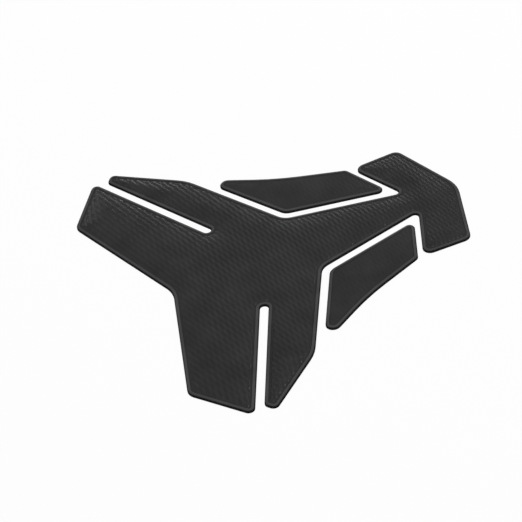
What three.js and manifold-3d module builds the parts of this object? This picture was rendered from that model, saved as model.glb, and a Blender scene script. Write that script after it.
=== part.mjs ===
// A three-piece motorcycle tank pad, lying on its flat back with its textured face up.
// Millimetres, +Z up, +Y toward the head of the pad, mirror-symmetric about X = 0.
import * as THREE from "three";
import Module from "manifold-3d";

const solids = await Module();
solids.setup();
const { Manifold, Mesh } = solids;

// Straight edges of the right half. Each is a line that faces out at an angle from +X,
// in degrees, at a distance from the datum point low on the neck.
const HEAD_TOP = { facing: 71.7, reach: 78.8 };
const HEAD_END = { facing: -1.9, reach: 41.1 };
const HEAD_UNDER = { facing: -112.7, reach: -54.5 };
const NECK = { facing: 13, reach: 21.2 };
const WING_TOP = { facing: 61.7, reach: 4.7 };
const FINGER_TIP = { facing: -53.6, reach: 122.6 };
const SLOT_UPPER = { facing: -116, reach: 23.1 };
const SLOT_END = { facing: 154, reach: -51.1 };
const LEG_END = { facing: -53.6, reach: 130.2 };
const CROTCH = { facing: -107.7, reach: 77.3 };

// The side pad's outer edge is hollow, so it is two lines that meet in a wide arc.
const SIDE_OUTER_UPPER = { facing: 21, reach: 53.8 };
const SIDE_OUTER_LOWER = { facing: 31, reach: 50 };
const SIDE_HOLLOW_RADIUS = 140;

// The finger's outer edge starts where its blunt tip ends, and slants back from there.
const FINGER_TIP_WIDTH = 6.8;
const FINGER_OUTER_FACING = 39.2;

// Gaps between the pieces, and the slot that splits a wing into its finger and leg.
const HEAD_GAP = 2.7;
const NECK_GAP = 4.7;
const WING_GAP = 4.1;
const SLOT_WIDTH = 4.5;

// Corner radii, each named for the corner that ends the edge before it.
const HEAD_APEX_RADIUS = 20;
const HEAD_CORNER_RADIUS = 5;
const HEAD_HEEL_RADIUS = 4.2;
const THROAT_RADIUS = 2.2;
const NECK_FOOT_RADIUS = 8;
const WING_SHOULDER_RADIUS = 26;
const FINGER_RADIUS = 3;
const LEG_TIP_RADIUS = 3;
const LEG_HEEL_RADIUS = 6.5;
const CROTCH_RADIUS = 16;
const SIDE_TOP_RADIUS = 3.5;
const SIDE_POINT_RADIUS = 4;
const SIDE_FOOT_RADIUS = 6;
const SIDE_THROAT_RADIUS = 3;

// Section of a piece, from its wall up a steep bevel, over the crest and a groove to the field.
const WALL_HEIGHT = 0.7;
const BEVEL_WIDTH = 0.45;
const BEVEL_RISE = 0.6;
const CREST_WIDTH = 1.35;
const CREST_RISE = 0.2;
const CREST_FALL = 0.5;
const GROOVE_WIDTH = 0.7;
const GROOVE_DEPTH = 0.2;

// The fields are crowned: they rise inward from their borders and level off at a set
// distance. The side pads are flatter.
const CROWN_WIDTH = 12;
const MAIN_CROWN = 0.4;
const SIDE_CROWN = 0.12;

// Raised bars of the field: columns along Y, each set half a bar along from the next.
const BAR_LENGTH = 7;
const BAR_PITCH = 3.6;
const BAR_HEIGHT = 0.25;
const BAR_HIP = 1.6;
const BAR_LIFT = 0.04;

const RADIANS = Math.PI / 180;
const CREST_STEPS = 2;
const ARC_ERROR = 0.06;
const LEAST_RADIUS = 0.3;
const SLOT_FLAT = 0.2;
const GROOVE_INSET = BEVEL_WIDTH + CREST_WIDTH + CREST_FALL;
const FIELD_INSET = GROOVE_INSET + GROOVE_WIDTH;
const CREST_FOOT = WALL_HEIGHT + BEVEL_RISE;
const FLOOR = CREST_FOOT + CREST_RISE - GROOVE_DEPTH;

// An edge of an outline, with the radius of the corner where it meets the next edge.
// A hollow corner has a negative radius.
function edge(line, corner) {
  return { facing: line.facing, reach: line.reach, corner };
}

// The line that faces a given one across a gap.
function across(line, gap) {
  return { facing: line.facing + 180, reach: -line.reach - gap };
}

function drawnIn(line, inset) {
  return { facing: line.facing, reach: line.reach - inset };
}

// Point where two lines cross.
function crossing(one, other) {
  const [a, b] = [one.facing * RADIANS, other.facing * RADIANS];
  const spread = Math.sin(b - a);
  return new THREE.Vector2(
    (one.reach * Math.sin(b) - other.reach * Math.sin(a)) / spread,
    (other.reach * Math.cos(a) - one.reach * Math.cos(b)) / spread,
  );
}

function direction(degrees) {
  return new THREE.Vector2(Math.cos(degrees * RADIANS), Math.sin(degrees * RADIANS));
}

// The finger's outer edge, through the outer end of its tip.
function fingerOuter() {
  const inner = crossing(FINGER_TIP, SLOT_UPPER);
  const outer = inner.addScaledVector(direction(FINGER_TIP.facing + 90), FINGER_TIP_WIDTH);
  return { facing: FINGER_OUTER_FACING, reach: outer.dot(direction(FINGER_OUTER_FACING)) };
}

// Right half of the main pad, clockwise from the head's apex to the crotch.
function mainHalf() {
  const slotCorner = (SLOT_FLAT - SLOT_WIDTH) / 2;
  return [
    edge(HEAD_TOP, HEAD_CORNER_RADIUS),
    edge(HEAD_END, HEAD_HEEL_RADIUS),
    edge(HEAD_UNDER, -THROAT_RADIUS),
    edge(NECK, -NECK_FOOT_RADIUS),
    edge(WING_TOP, WING_SHOULDER_RADIUS),
    edge(fingerOuter(), FINGER_RADIUS),
    edge(FINGER_TIP, FINGER_RADIUS),
    edge(SLOT_UPPER, slotCorner),
    edge(across(SLOT_END, 0), slotCorner),
    edge(across(SLOT_UPPER, SLOT_WIDTH), LEG_TIP_RADIUS),
    edge(LEG_END, LEG_HEEL_RADIUS),
    edge(CROTCH, -CROTCH_RADIUS),
  ];
}

// The right side pad, clockwise from its top edge, nested against the main pad's edges.
function sideOutline() {
  return [
    edge(across(HEAD_UNDER, HEAD_GAP), SIDE_TOP_RADIUS),
    edge(SIDE_OUTER_UPPER, -SIDE_HOLLOW_RADIUS),
    edge(SIDE_OUTER_LOWER, SIDE_POINT_RADIUS),
    edge(across(WING_TOP, WING_GAP), SIDE_FOOT_RADIUS),
    edge(across(NECK, NECK_GAP), SIDE_THROAT_RADIUS),
  ];
}

// The same edges on the other side of X = 0, still clockwise. The corner after each edge
// is the one that came before it, and the first edge's comes from the meeting edge.
function mirrored(edges, meeting) {
  const flipped = edges.map((one, i) => ({
    facing: 180 - one.facing,
    reach: one.reach,
    corner: i > 0 ? edges[i - 1].corner : meeting,
  }));
  return flipped.reverse();
}

function mainOutline() {
  const half = mainHalf();
  return [...half, ...mirrored(half, HEAD_APEX_RADIUS)];
}

// Arc at the corner between two edges, for the outline drawn in by an inset. Its number
// of points doesn't change with the inset, so rings at different insets match.
function cornerArc(before, after, inset) {
  let turn = (after.facing - before.facing) % 360;
  if (turn > 180) turn -= 360;
  if (turn < -180) turn += 360;
  const step = 2 * Math.acos(1 - ARC_ERROR / Math.abs(before.corner)) / RADIANS;
  const steps = Math.max(2, Math.ceil(Math.abs(turn) / step));
  let radius = before.corner - inset;
  if (before.corner > 0) radius = Math.max(radius, LEAST_RADIUS);
  const centre = crossing(drawnIn(before, inset + radius), drawnIn(after, inset + radius));
  return Array.from({ length: steps + 1 }, (_, i) =>
    direction(before.facing + (turn * i) / steps).multiplyScalar(radius).add(centre),
  );
}

function ring(edges, inset) {
  return edges.flatMap((one, i) => cornerArc(one, edges[(i + 1) % edges.length], inset));
}

// How far along a rise that starts steep and levels off has come, from 0 to 1.
function levelling(share) {
  return 1 - (1 - Math.min(share, 1)) ** 2;
}

// Insets and heights across the rim, from the back edge over the crest to the groove.
function rimSection() {
  const section = [{ inset: 0, height: 0 }, { inset: 0, height: WALL_HEIGHT }];
  for (let i = 0; i <= CREST_STEPS; i++) {
    const share = i / CREST_STEPS;
    section.push({
      inset: BEVEL_WIDTH + CREST_WIDTH * share,
      height: CREST_FOOT + CREST_RISE * levelling(share),
    });
  }
  section.push({ inset: GROOVE_INSET, height: FLOOR });
  return section;
}

function solidFrom(points, triangles) {
  const mesh = new Mesh({
    numProp: 3,
    vertProperties: new Float32Array(points.flatMap((p) => [p.x, p.y, p.z])),
    triVerts: new Uint32Array(triangles.flat()),
  });
  mesh.merge();
  return new Manifold(mesh);
}

// A solid from matching outlines at rising heights, closed flat at its bottom and top.
function stacked(levels) {
  const rings = levels.map(({ outline, height }) =>
    outline.map((p) => new THREE.Vector3(p.x, p.y, height)),
  );
  const count = rings[0].length;
  const triangles = [];
  for (let level = 0; level + 1 < rings.length; level++) {
    for (let i = 0; i < count; i++) {
      const [a, b] = [level * count + i, level * count + ((i + 1) % count)];
      triangles.push([a, a + count, b], [b, a + count, b + count]);
    }
  }
  const top = (rings.length - 1) * count;
  const flat = (points) => THREE.ShapeUtils.triangulateShape(points, []);
  flat(rings[0]).forEach(([a, b, c]) => triangles.push(clockwise(rings[0], a, b, c)));
  flat(rings.at(-1)).forEach(([a, b, c]) => {
    const [p, q, r] = clockwise(rings.at(-1), a, b, c);
    triangles.push([top + p, top + r, top + q]);
  });
  return solidFrom(rings.flat(), triangles);
}

// The flat-backed body with its rim, up to the floor of the field.
function body(edges) {
  return stacked(
    rimSection().map(({ inset, height }) => ({ outline: ring(edges, inset), height })),
  );
}

// A triangle's corners in clockwise order as seen from above.
function clockwise(points, a, b, c) {
  const area =
    (points[b].x - points[a].x) * (points[c].y - points[a].y) -
    (points[c].x - points[a].x) * (points[b].y - points[a].y);
  return area > 0 ? [a, c, b] : [a, b, c];
}

// One bar as a hipped ridge, with a point halfway along each end for its neighbours.
function barTriangles(x, y, points) {
  const first = points.length;
  const valley = FLOOR + BAR_LIFT;
  const place = (px, py, pz) => points.push(new THREE.Vector3(px, py, pz));
  for (const side of [0, BAR_LENGTH]) {
    place(x + side, y, valley);
    place(x + side, y + BAR_PITCH / 2, valley);
    place(x + side, y + BAR_PITCH, valley);
  }
  place(x + BAR_HIP, y + BAR_PITCH / 2, valley + BAR_HEIGHT);
  place(x + BAR_LENGTH - BAR_HIP, y + BAR_PITCH / 2, valley + BAR_HEIGHT);
  return [
    [0, 6, 1], [1, 6, 2], [3, 4, 7], [4, 5, 7],
    [0, 3, 7], [0, 7, 6], [2, 6, 7], [2, 7, 5],
  ].map((corners) => corners.map((i) => i + first));
}

// Bars over a whole outline, in columns that run along Y and alternate by half a bar.
// One column is centred on X = 0.
function barField(box) {
  const firstColumn = Math.floor(box.min.x / BAR_LENGTH);
  const lastColumn = Math.ceil(box.max.x / BAR_LENGTH);
  const firstRow = Math.floor(box.min.y / BAR_PITCH) - 1;
  const lastRow = Math.ceil(box.max.y / BAR_PITCH) + 1;
  const points = [];
  const triangles = [];
  for (let column = firstColumn; column <= lastColumn; column++) {
    const stagger = column % 2 === 0 ? 0 : BAR_PITCH / 2;
    for (let row = firstRow; row < lastRow; row++) {
      const [x, y] = [(column - 0.5) * BAR_LENGTH, row * BAR_PITCH + stagger];
      triangles.push(...barTriangles(x, y, points));
    }
  }
  return { points, triangles };
}

// Closes an open surface with a flat copy of itself at a lower level and walls round it.
function closedDown({ points, triangles }, level) {
  const key = (p) => [p.x, p.y].map((v) => Math.round(v * 1000)).join(" ");
  const welded = new Map();
  points.forEach((p) => {
    if (!welded.has(key(p))) welded.set(key(p), { index: welded.size, point: p });
  });
  const above = [...welded.values()].map(({ point }) => point);
  const below = above.map((p) => new THREE.Vector3(p.x, p.y, level));
  const index = (i) => welded.get(key(points[i])).index;
  const top = triangles.map((corners) => corners.map(index));
  const sides = new Set(top.flatMap(([a, b, c]) => [`${a} ${b}`, `${b} ${c}`, `${c} ${a}`]));
  const count = above.length;
  const base = top.map(([a, b, c]) => [a + count, c + count, b + count]);
  const all = [...top, ...base];
  for (const side of sides) {
    const [a, b] = side.split(" ").map(Number);
    if (sides.has(`${b} ${a}`)) continue;
    all.push([a, a + count, b + count], [a, b + count, b]);
  }
  return solidFrom([...above, ...below], all);
}

// How far a point lies inside a closed loop: 0 on the loop and outside it.
function depthIn(loop, point) {
  let [nearest, inside] = [Infinity, false];
  loop.forEach((a, i) => {
    const b = loop[(i + 1) % loop.length];
    const along = b.clone().sub(a);
    const share = point.clone().sub(a).dot(along) / along.lengthSq();
    const foot = a.clone().addScaledVector(along, Math.min(Math.max(share, 0), 1));
    nearest = Math.min(nearest, foot.distanceTo(point));
    const crosses = a.y > point.y !== b.y > point.y;
    if (crosses && point.x < a.x + ((point.y - a.y) / along.y) * along.x) inside = !inside;
  });
  return inside ? nearest : 0;
}

// The crowned, textured field: the bars, trimmed to the outline inside the groove.
function field(edges, rise) {
  const outline = ring(edges, FIELD_INSET);
  const bars = barField(new THREE.Box2().setFromPoints(outline));
  bars.points.forEach((p) => {
    const depth = depthIn(outline, new THREE.Vector2(p.x, p.y));
    p.z += rise * levelling(depth / CROWN_WIDTH);
  });
  const trim = stacked([
    { outline, height: 0 },
    { outline, height: FLOOR + rise + 2 * BAR_HEIGHT },
  ]);
  return closedDown(bars, FLOOR / 2).intersect(trim);
}

function geometryOf(solid) {
  const { vertProperties, triVerts, numProp } = solid.getMesh();
  const positions = new THREE.InterleavedBuffer(vertProperties, numProp);
  const geometry = new THREE.BufferGeometry();
  geometry.setAttribute("position", new THREE.InterleavedBufferAttribute(positions, 3, 0));
  geometry.setIndex(new THREE.BufferAttribute(triVerts, 1));
  const flat = geometry.toNonIndexed();
  flat.computeVertexNormals();
  return flat;
}

function rubber() {
  return new THREE.MeshStandardMaterial({ color: 0x1c1c1d, roughness: 0.5, metalness: 0 });
}

function pad(name, edges, rise) {
  const solid = body(edges).add(field(edges, rise));
  const mesh = new THREE.Mesh(geometryOf(solid), rubber());
  mesh.name = name;
  return mesh;
}

// The pieces are laid out from the datum point, then set so that X and Y = 0 are the
// middle of the whole pad.
function tankPad() {
  const right = sideOutline();
  const pads = new THREE.Group();
  pads.add(pad("main_pad", mainOutline(), MAIN_CROWN));
  pads.add(pad("right_side_pad", right, SIDE_CROWN));
  pads.add(pad("left_side_pad", mirrored(right, right.at(-1).corner), SIDE_CROWN));
  const box = new THREE.Box2().setFromPoints(ring(mainOutline(), 0));
  pads.position.y = -(box.min.y + box.max.y) / 2;
  const whole = new THREE.Group();
  whole.add(pads);
  return whole;
}

export default tankPad();
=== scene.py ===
"""The tank pad's looks: a fine rim, groove and bar relief on each piece, in moulded black rubber."""
import math

import bpy
import numpy as np
from mathutils import Matrix, Vector


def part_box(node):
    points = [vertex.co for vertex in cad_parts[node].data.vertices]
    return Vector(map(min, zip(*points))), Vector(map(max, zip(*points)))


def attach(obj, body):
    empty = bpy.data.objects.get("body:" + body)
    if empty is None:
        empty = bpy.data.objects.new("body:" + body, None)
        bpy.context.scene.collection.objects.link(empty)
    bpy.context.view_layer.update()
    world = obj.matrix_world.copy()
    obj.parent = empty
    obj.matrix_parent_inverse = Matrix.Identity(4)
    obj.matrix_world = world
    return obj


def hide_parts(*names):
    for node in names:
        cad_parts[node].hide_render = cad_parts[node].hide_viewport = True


MM = 0.001

# Section of a piece, from its wall up a steep bevel, over the crest and a groove to the field.
WALL_HEIGHT = 0.7 * MM
BEVEL_WIDTH = 0.45 * MM
BEVEL_RISE = 0.6 * MM
CREST_WIDTH = 1.35 * MM
CREST_RISE = 0.2 * MM
CREST_FALL = 0.5 * MM
GROOVE_WIDTH = 0.7 * MM
GROOVE_DEPTH = 0.2 * MM
CREST_STEPS = 6
FALL_STEPS = 6

# Relief of the field: columns of short ridges across the pad, each column half a row from the
# next. Each row is a little longer than the row before it, from the head down, and a ridge's
# rise is a share of its row's length.
COLUMN_WIDTH = 5.6 * MM
FIRST_PITCH = 2.24 * MM
ROW_GROWTH = 1.0044
MAIN_RIDGE = 0.068
SIDE_RIDGE = 0.02

# A column's ridges round off over a share of its width at each side, and fade out at the border.
COLUMN_BLEND = 0.35
FADE_WIDTH = 0.5 * MM

# The relief is a grid of small cells.
COLUMN_CELLS = 8
ROW_CELL = 0.4 * MM

# The fields are crowned: they rise inward from their borders and level off at a set distance.
CROWN_WIDTH = 12 * MM
MAIN_CROWN = 0.4 * MM
SIDE_CROWN = 0.12 * MM

# Points that round to the same whole number of these steps per metre are one point.
SOLID_STEPS = 1e6
FIELD_STEPS = 1e7

# A face of the solid is on its flat back if all its corners lie below this height, in metres.
FLAT_LIMIT = 1e-7

# The rubber of each part of the section, from the wall in: how light it is, how strongly it
# reflects, how rough it is and how strong its grain is. These are lit and shaded copies of the one
# rubber, the field's. The crest's lighter colour is a painted highlight. The wall's near-black
# colour and the bevel's darker, unreflecting colour are painted shade. The groove reflects nothing,
# so it shows no highlight.
RUBBER = {
    "wall": {"level": 0.004, "reflection": 0.0, "roughness": 0.5, "grain": 0.1},
    "bevel": {"level": 0.018, "reflection": 0.0, "roughness": 0.5, "grain": 0.1},
    "crest": {"level": 0.062, "reflection": 0.05, "roughness": 0.5, "grain": 0.15},
    "groove": {"level": 0.03, "reflection": 0.0, "roughness": 0.6, "grain": 0.15},
    "field": {"level": 0.02, "reflection": 0.45, "roughness": 0.24, "grain": 0.3},
}
PARTS = tuple(RUBBER)
RUBBER_IOR = 1.4
BLUE_CAST = 1.03

# A wide cloudy noise varies the tint and the roughness, and a fine one is the grain.
CLOUD_SCALE = 60.0
CLOUD_DETAIL = 4.0
CLOUD_SPAN = (0.3, 0.7)
TINT_SPAN = (0.85, 1.15)
ROUGHNESS_SWING = 0.04
GRAIN_SCALE = 2500.0
GRAIN_DETAIL = 2.0
GRAIN_DEPTH = 0.05 * MM

# Floor and surround. The glow is the share of plain white that the camera sees on the floor.
FLOOR_SIZE = 8
FLOOR_DROP = 0.05 * MM
FLOOR_WHITE = 0.98
FLOOR_ROUGHNESS = 0.9
FLOOR_GLOW = 0.9
SURROUND_LEVEL = 0.25

# Soft lamps: a wide one overhead, and others round the pad. Angles are in degrees, distances and
# sizes in metres and powers in watts.
TOP_LIGHT_HEIGHT = 1.6
TOP_LIGHT_SIZE = (1.4, 1.4)
TOP_LIGHT_POWER = 8
ROUND_LIGHTS = {
    "key_light": {
        "azimuth": 205, "elevation": 68, "distance": 1.6, "size": (0.8, 0.8), "power": 11,
    },
    "side_light": {
        "azimuth": 275, "elevation": 26, "distance": 0.9, "size": (0.2, 0.2), "power": 0.15,
    },
    "back_light": {
        "azimuth": 236, "elevation": 18, "distance": 1.2, "size": (0.25, 0.15), "power": 0.35,
    },
    "wing_light": {
        "azimuth": 253, "elevation": 17, "distance": 1.2, "size": (0.25, 0.15), "power": 0.55,
    },
    "window_light": {
        "azimuth": 241, "elevation": 28, "distance": 1.8, "size": (0.3, 0.4), "power": 0.08,
    },
}

# Camera, as read from the photograph's perspective. Angles are in degrees, the distance and the
# point it aims at in metres, the lens and its sensor in millimetres.
VIEW_AZIMUTH = 71.22
VIEW_ELEVATION = 39.13
VIEW_ROLL = -8.63
VIEW_DISTANCE = 1.503
VIEW_AIM = Vector((0.00068, -0.02033, 0.0))
LENS = 200.5
SENSOR = 36.0
CLIP_START = 0.01


def fixed_outline(node):
    """The border of a CAD node's flat back, as corners in order, counterclockwise from above."""
    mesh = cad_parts[node].data
    place = {}
    corner_of = []
    for vertex in mesh.vertices:
        key = tuple(round(value * SOLID_STEPS) for value in vertex.co)
        corner_of.append(place.setdefault(key, (len(place), vertex.co.copy())))
    steps = set()
    for face in mesh.polygons:
        corners = [corner_of[i] for i in face.vertices]
        if max(point.z for _, point in corners) > FLAT_LIMIT:
            continue
        numbers = [number for number, _ in corners]
        steps.update(zip(numbers, numbers[1:] + numbers[:1]))
    after = {a: b for a, b in steps if (b, a) not in steps}
    points = {number: point for number, point in place.values()}
    chain = [next(iter(after))]
    while after[chain[-1]] != chain[0]:
        chain.append(after[chain[-1]])
    loop = [points[number].to_2d() for number in chain]
    return loop[::-1]


def drawn_in(outline, inset):
    """The outline moved in by an inset, each corner along its own bisector."""
    moved = []
    for i, here in enumerate(outline):
        before = (here - outline[i - 1]).normalized()
        after = (outline[(i + 1) % len(outline)] - here).normalized()
        inward = Vector((-before.y, before.x))
        bisector = (inward + Vector((-after.y, after.x))).normalized()
        moved.append(here + bisector * (inset / bisector.dot(inward)))
    return moved


def levelling(share):
    """How far along a rise that starts steep and levels off has come, from 0 to 1."""
    return 1 - (1 - np.minimum(share, 1)) ** 2


def crest_section():
    """Insets and heights over the crest, from the bevel's top inward."""
    shares = [i / CREST_STEPS for i in range(CREST_STEPS + 1)]
    foot = WALL_HEIGHT + BEVEL_RISE
    return [(BEVEL_WIDTH + CREST_WIDTH * s, foot + CREST_RISE * levelling(s)) for s in shares]


def fall_section():
    """Insets and heights from the crest down to the groove."""
    crest, top = crest_section()[-1]
    shares = [i / FALL_STEPS for i in range(FALL_STEPS + 1)]
    return [
        (crest + CREST_FALL * s, top - GROOVE_DEPTH * (1 - math.cos(s * math.pi)) / 2)
        for s in shares
    ]


def groove_section():
    """Insets and heights across the flat of the groove."""
    inset, height = fall_section()[-1]
    return [(inset, height), (inset + GROOVE_WIDTH, height)]


def add_rings(rings, vertices, faces, kinds, kind):
    """Joins rings of equal length into bands of faces, with vertices of their own."""
    first = len(vertices)
    count = len(rings[0])
    for ring in rings:
        vertices.extend(ring)
    for level in range(len(rings) - 1):
        for i in range(count):
            a = first + level * count + i
            b = first + level * count + (i + 1) % count
            faces.append((a, b, b + count, a + count))
            kinds.append(kind)


def raised(outline, height):
    """The outline's corners in space, all at one height."""
    return [(point.x, point.y, height) for point in outline]


def rim_mesh(outline, vertices, faces, kinds):
    """The wall, bevel, crest and groove in turn, and the flat back.

    The flat of the groove has the field's rubber, and the back the wall's.
    """
    sections = {
        "wall": [(0.0, 0.0), (0.0, WALL_HEIGHT)],
        "bevel": [(0.0, WALL_HEIGHT), crest_section()[0]],
        "crest": crest_section(),
        "groove": fall_section(),
        "field": groove_section(),
    }
    for part, section in sections.items():
        rings = [raised(drawn_in(outline, inset), height) for inset, height in section]
        add_rings(rings, vertices, faces, kinds, PARTS.index(part))
    back = len(vertices)
    vertices.extend(raised(outline, 0.0))
    faces.append(tuple(range(back, len(vertices)))[::-1])
    kinds.append(PARTS.index("wall"))


def clipped(polygon, low, high):
    """The part of a polygon that lies in a box."""
    for axis in (0, 1):
        for limit, sign in ((low[axis], 1), (high[axis], -1)):
            kept = []
            for i, here in enumerate(polygon):
                before = polygon[i - 1]
                inside = (here[axis] - limit) * sign >= 0
                if inside != ((before[axis] - limit) * sign >= 0):
                    share = (limit - before[axis]) / (here[axis] - before[axis])
                    other = before[1 - axis] + share * (here[1 - axis] - before[1 - axis])
                    kept.append((limit, other) if axis == 0 else (other, limit))
                if inside:
                    kept.append(here)
            polygon = kept
            if not polygon:
                return []
    return polygon


def distances(points, outline):
    """How far each point lies inside an outline: negative outside it."""
    points = np.asarray(points)
    best = np.full(len(points), np.inf)
    inside = np.zeros(len(points), bool)
    loop = np.array([tuple(p) for p in outline])
    for a, b in zip(loop, np.roll(loop, -1, axis=0)):
        along = b - a
        share = np.clip((points - a) @ along / (along @ along), 0, 1)
        best = np.minimum(best, np.hypot(*(points - a - share[:, None] * along).T))
        if a[1] != b[1]:
            crosses = (a[1] > points[:, 1]) != (b[1] > points[:, 1])
            at = a[0] + (points[:, 1] - a[1]) / (b[1] - a[1]) * along[0]
            inside ^= crosses & (points[:, 0] < at)
    return np.where(inside, best, -best)


def ridge_height(x, y):
    """The relief at a point, from -1 in a valley to 1 on a ridge, and its row's length.

    At its sides a column blends to the mean height, where its neighbour's valleys meet its
    ridges.
    """
    pitch = FIRST_PITCH + (HEAD_END_Y - y) * (ROW_GROWTH - 1)
    rows = math.log(pitch / FIRST_PITCH) / math.log(ROW_GROWTH)
    column = math.floor(x / COLUMN_WIDTH + 0.5)
    off_centre = abs(x / COLUMN_WIDTH - column)
    phase = rows + 0.5 * (column % 2)
    edge = min((0.5 - off_centre) / COLUMN_BLEND, 1.0)
    return math.sin(edge * math.pi / 2) * math.cos(2 * math.pi * phase), pitch


def field_cells(border):
    """The corners of each small cell of a field, trimmed to its border."""
    loop = [tuple(p) for p in border]
    low = [min(p[axis] for p in loop) for axis in (0, 1)]
    high = [max(p[axis] for p in loop) for axis in (0, 1)]
    step = (COLUMN_WIDTH / COLUMN_CELLS, ROW_CELL)
    first = [math.floor(low[axis] / step[axis]) for axis in (0, 1)]
    count = [math.ceil(high[axis] / step[axis]) - first[axis] for axis in (0, 1)]
    cells = [(first[0] + i, first[1] + j) for i in range(count[0]) for j in range(count[1])]
    middles = [((i + 0.5) * step[0], (j + 0.5) * step[1]) for i, j in cells]
    reach = sum(step)
    kept = []
    for (i, j), inside in zip(cells, distances(middles, border)):
        if inside < -reach:
            continue
        a = (i * step[0], j * step[1])
        b = ((i + 1) * step[0], (j + 1) * step[1])
        whole = [a, (b[0], a[1]), b, (a[0], b[1])]
        kept.append(whole if inside > reach else clipped(loop, a, b))
    return kept


def field_rises(points, border, form):
    """How far a field stands above its border at each point."""
    crown, ridge = form
    depth = np.maximum(distances(points, border), 0)
    fade = np.minimum(depth / FADE_WIDTH, 1)
    rises = []
    for (x, y), share, part in zip(points, fade, levelling(depth / CROWN_WIDTH)):
        relief, pitch = ridge_height(x, y)
        rises.append(crown * part + ridge * pitch * (part + relief * share) / 2)
    return rises


def field_mesh(border, floor_height, form, vertices, faces, kinds):
    """The ridged field, with one vertex wherever its cells meet."""
    number_of = {}
    points = []
    for corners in field_cells(border):
        face = []
        for x, y in corners:
            key = (round(x * FIELD_STEPS), round(y * FIELD_STEPS))
            if key not in number_of:
                number_of[key] = len(vertices) + len(points)
                points.append((x, y))
            if number_of[key] not in face:
                face.append(number_of[key])
        if len(face) > 2:
            faces.append(tuple(face))
            kinds.append(PARTS.index("field"))
    for (x, y), rise in zip(points, field_rises(points, border, form)):
        vertices.append((x, y, float(floor_height + rise)))


def skin_mesh(node):
    """The rim and field of one piece, with a material for each part of its section."""
    outline = fixed_outline(node)
    vertices, faces, kinds = [], [], []
    rim_mesh(outline, vertices, faces, kinds)
    inset, floor_height = groove_section()[-1]
    border = drawn_in(outline, inset)
    form = (MAIN_CROWN, MAIN_RIDGE) if node == "main_pad" else (SIDE_CROWN, SIDE_RIDGE)
    field_mesh(border, floor_height, form, vertices, faces, kinds)
    mesh = bpy.data.meshes.new(node + "_skin")
    mesh.from_pydata(vertices, [], faces)
    for part in PARTS:
        mesh.materials.append(bpy.data.materials["rubber_" + part])
    for face, kind in zip(mesh.polygons, kinds):
        face.material_index = kind
        face.use_smooth = True
    mesh.update()
    return mesh


def skin(node):
    """A detailed piece in place of a CAD node."""
    piece = bpy.data.objects.new(node + "_skin", skin_mesh(node))
    bpy.context.scene.collection.objects.link(piece)
    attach(piece, "root")
    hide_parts(node)


def noise(nodes, links, scale, detail):
    """A noise in the object's own space."""
    coordinates = nodes.new("ShaderNodeTexCoord")
    texture = nodes.new("ShaderNodeTexNoise")
    texture.inputs["Scale"].default_value = scale
    texture.inputs["Detail"].default_value = detail
    links.new(coordinates.outputs["Object"], texture.inputs["Vector"])
    return texture.outputs["Fac"]


def rubber(part, level, reflection, roughness, grain):
    """Moulded black rubber for one part, with a fine grain and a slightly uneven gloss and tint. Its
    colour is the part's level, which paints a highlight on the crest and shade on the wall and
    bevel.
    """
    colour = (level, level, level * BLUE_CAST)
    material = bpy.data.materials.new("rubber_" + part)
    material.use_nodes = True
    nodes, links = material.node_tree.nodes, material.node_tree.links
    shader = nodes["Principled BSDF"]
    shader.inputs["IOR"].default_value = RUBBER_IOR
    shader.inputs["Specular IOR Level"].default_value = reflection
    cloud = noise(nodes, links, CLOUD_SCALE, CLOUD_DETAIL)
    tint = nodes.new("ShaderNodeValToRGB")
    for stop, position, share in zip(tint.color_ramp.elements, CLOUD_SPAN, TINT_SPAN):
        stop.position = position
        stop.color = (*[value * share for value in colour], 1)
    links.new(cloud, tint.inputs["Fac"])
    links.new(tint.outputs["Color"], shader.inputs["Base Color"])
    gloss = nodes.new("ShaderNodeMapRange")
    gloss.inputs["To Min"].default_value = roughness - ROUGHNESS_SWING
    gloss.inputs["To Max"].default_value = roughness + ROUGHNESS_SWING
    links.new(cloud, gloss.inputs["Value"])
    links.new(gloss.outputs["Result"], shader.inputs["Roughness"])
    bump = nodes.new("ShaderNodeBump")
    bump.inputs["Strength"].default_value = grain
    bump.inputs["Distance"].default_value = GRAIN_DEPTH
    links.new(noise(nodes, links, GRAIN_SCALE, GRAIN_DETAIL), bump.inputs["Height"])
    links.new(bump.outputs["Normal"], shader.inputs["Normal"])


def floor_material():
    """A pale surface that the camera and mirrors see as plain white, save for a faint shadow."""
    material = bpy.data.materials.new("floor_white")
    material.use_nodes = True
    nodes, links = material.node_tree.nodes, material.node_tree.links
    shader = nodes["Principled BSDF"]
    shader.inputs["Base Color"].default_value = (FLOOR_WHITE, FLOOR_WHITE, FLOOR_WHITE, 1)
    shader.inputs["Roughness"].default_value = FLOOR_ROUGHNESS
    glow = nodes.new("ShaderNodeEmission")
    paths = nodes.new("ShaderNodeLightPath")
    seen = paths.outputs["Is Camera Ray"]
    for other in ("Is Glossy Ray", "Is Transmission Ray"):
        either = nodes.new("ShaderNodeMath")
        either.operation = "MAXIMUM"
        links.new(seen, either.inputs[0])
        links.new(paths.outputs[other], either.inputs[1])
        seen = either.outputs[0]
    part = nodes.new("ShaderNodeMath")
    part.operation = "MULTIPLY"
    part.inputs[1].default_value = FLOOR_GLOW
    links.new(seen, part.inputs[0])
    mix = nodes.new("ShaderNodeMixShader")
    links.new(part.outputs[0], mix.inputs[0])
    links.new(shader.outputs[0], mix.inputs[1])
    links.new(glow.outputs[0], mix.inputs[2])
    links.new(mix.outputs[0], nodes["Material Output"].inputs["Surface"])
    return material


def floor():
    """A wide plane just under the flat backs."""
    bpy.ops.mesh.primitive_plane_add(size=FLOOR_SIZE, location=(0, 0, -FLOOR_DROP))
    plane = bpy.context.object
    plane.name = "floor"
    plane.data.materials.append(floor_material())


def surround():
    """A plain soft grey world."""
    sky = bpy.data.worlds.new("surround")
    sky.use_nodes = True
    background = sky.node_tree.nodes["Background"]
    background.inputs["Color"].default_value = (1, 1, 1, 1)
    background.inputs["Strength"].default_value = SURROUND_LEVEL
    bpy.context.scene.world = sky


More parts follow.
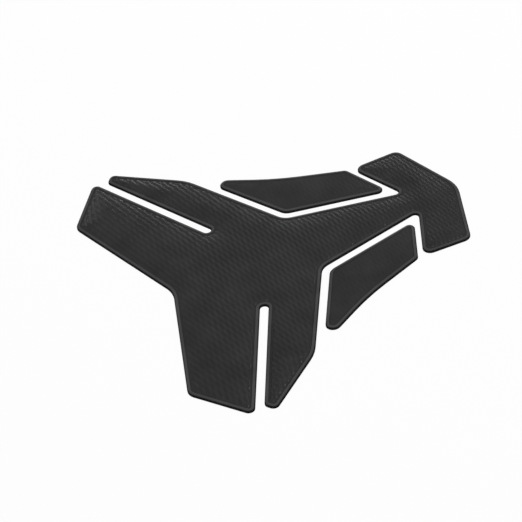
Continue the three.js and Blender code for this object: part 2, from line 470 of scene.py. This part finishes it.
def view_back(azimuth, elevation):
    """The direction from the pad toward a viewer or a lamp."""
    a, e = math.radians(azimuth), math.radians(elevation)
    return Vector((math.sin(a) * math.cos(e), -math.cos(a) * math.cos(e), math.sin(e)))


def soft_light(name, place, size, power):
    """A soft rectangular lamp that faces the middle of the pad. The camera sees only its light."""
    data = bpy.data.lights.new(name, "AREA")
    data.shape = "RECTANGLE"
    data.size, data.size_y = size
    data.energy = power
    lamp = bpy.data.objects.new(name, data)
    lamp.location = place
    lamp.rotation_euler = place.to_track_quat("Z", "Y").to_euler()
    lamp.visible_camera = False
    bpy.context.scene.collection.objects.link(lamp)


def lights():
    """The lamp overhead and those round the pad."""
    overhead = Vector((0, 0, TOP_LIGHT_HEIGHT))
    soft_light("top_light", overhead, TOP_LIGHT_SIZE, TOP_LIGHT_POWER)
    for name, lamp in ROUND_LIGHTS.items():
        place = view_back(lamp["azimuth"], lamp["elevation"]) * lamp["distance"]
        soft_light(name, place, lamp["size"], lamp["power"])


def camera():
    """The photograph's camera."""
    data = bpy.data.cameras.new("camera")
    data.lens = LENS
    data.sensor_width = SENSOR
    data.clip_start = CLIP_START
    seen = bpy.data.objects.new("camera", data)
    back = view_back(VIEW_AZIMUTH, VIEW_ELEVATION)
    turn = math.radians(VIEW_AZIMUTH)
    right = Vector((math.cos(turn), math.sin(turn), 0))
    level = Matrix((right, back.cross(right), back)).transposed()
    rolled = level @ Matrix.Rotation(math.radians(VIEW_ROLL), 3, "Z")
    seen.matrix_world = Matrix.Translation(VIEW_AIM + back * VIEW_DISTANCE) @ rolled.to_4x4()
    bpy.context.scene.collection.objects.link(seen)
    bpy.context.scene.camera = seen


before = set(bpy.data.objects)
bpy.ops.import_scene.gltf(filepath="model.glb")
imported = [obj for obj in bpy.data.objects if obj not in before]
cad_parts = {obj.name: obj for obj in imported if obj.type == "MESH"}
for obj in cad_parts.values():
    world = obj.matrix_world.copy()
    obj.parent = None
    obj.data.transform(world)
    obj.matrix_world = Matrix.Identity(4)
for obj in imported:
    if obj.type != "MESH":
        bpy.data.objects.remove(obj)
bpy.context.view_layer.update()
HEAD_END_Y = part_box("main_pad")[1][1]

camera()
for part, look in RUBBER.items():
    rubber(part, **look)
for node in sorted(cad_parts):
    skin(node)

floor()
surround()
lights()
bpy.context.scene.view_settings.view_transform = "Standard"
